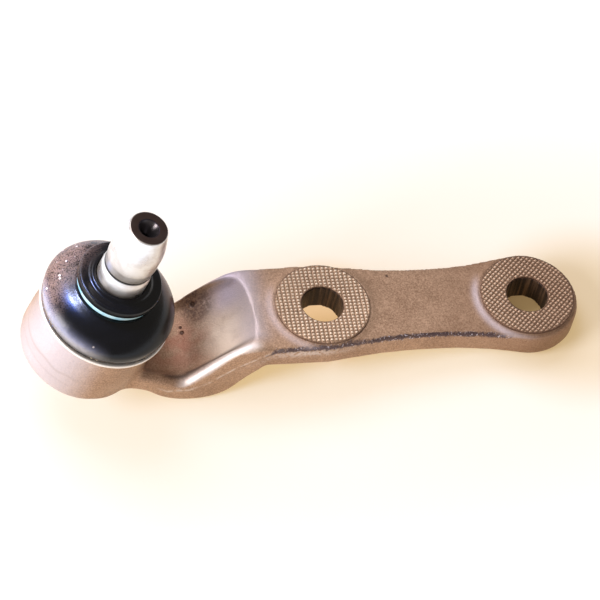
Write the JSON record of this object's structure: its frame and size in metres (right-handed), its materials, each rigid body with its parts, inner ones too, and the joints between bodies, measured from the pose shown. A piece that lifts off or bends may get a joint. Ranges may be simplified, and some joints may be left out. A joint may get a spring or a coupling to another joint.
{
  "type": "suspension ball joint",
  "caption": "Forged steel arm with two knurled bolting pads, cranked down to a cup that holds a swivelling ball stud under a rubber boot.",
  "frame": {"origin": "centre of the inner bolt hole, in the plane of the two pad faces", "axes": "+Z stands out of the pad faces along the bolt holes, +X runs along the bar to the outer bolt hole, away from the cup"},
  "size_m": [0.173, 0.0422, 0.075],
  "materials": {
    "forged_steel": "shot-blasted, lightly oiled",
    "polished_steel": "ground and polished",
    "bearing_plastic": "moulded",
    "spring_steel": "plain",
    "pressed_steel": "pressed, plain",
    "boot_rubber": "gloss, greased",
    "ring_blue": "gloss",
    "ring_steel": "bright wire"
  },
  "bodies": {
    "housing": {"forged_arm": "forged_steel", "upper_bearing": "bearing_plastic", "lower_bearing": "bearing_plastic", "preload_spring": "spring_steel", "closing_cover": "pressed_steel", "cover_seal": "boot_rubber", "boot_base_ring": "ring_steel"},
    "swing_fore_aft": {"dust_boot": "boot_rubber"},
    "swing_sideways": {"boot_neck_ring": "ring_blue"},
    "stud": {"ball_stud": "polished_steel"}
  },
  "joints": [
    {"name": "stud_swing_fore_aft", "type": "hinge", "parent": "housing", "child": "swing_fore_aft", "pos_m": [-0.0692, -0.001, 0], "axis": [0, 0.994, 0.1097], "range_deg": [-20.4, 23.6], "deforming": ["dust_boot"]},
    {"name": "stud_swing_sideways", "type": "hinge", "parent": "swing_fore_aft", "child": "swing_sideways", "pos_m": [-0.0692, -0.001, 0], "axis": [0.9763, 0.0237, -0.215], "range_deg": [-19.3, 24.7], "deforming": ["dust_boot"]},
    {"name": "stud_spin", "type": "hinge", "parent": "swing_sideways", "child": "stud", "pos_m": [-0.0692, -0.001, 0], "axis": [0.2161, -0.0596, 0.9746], "continuous": true}
  ]
}
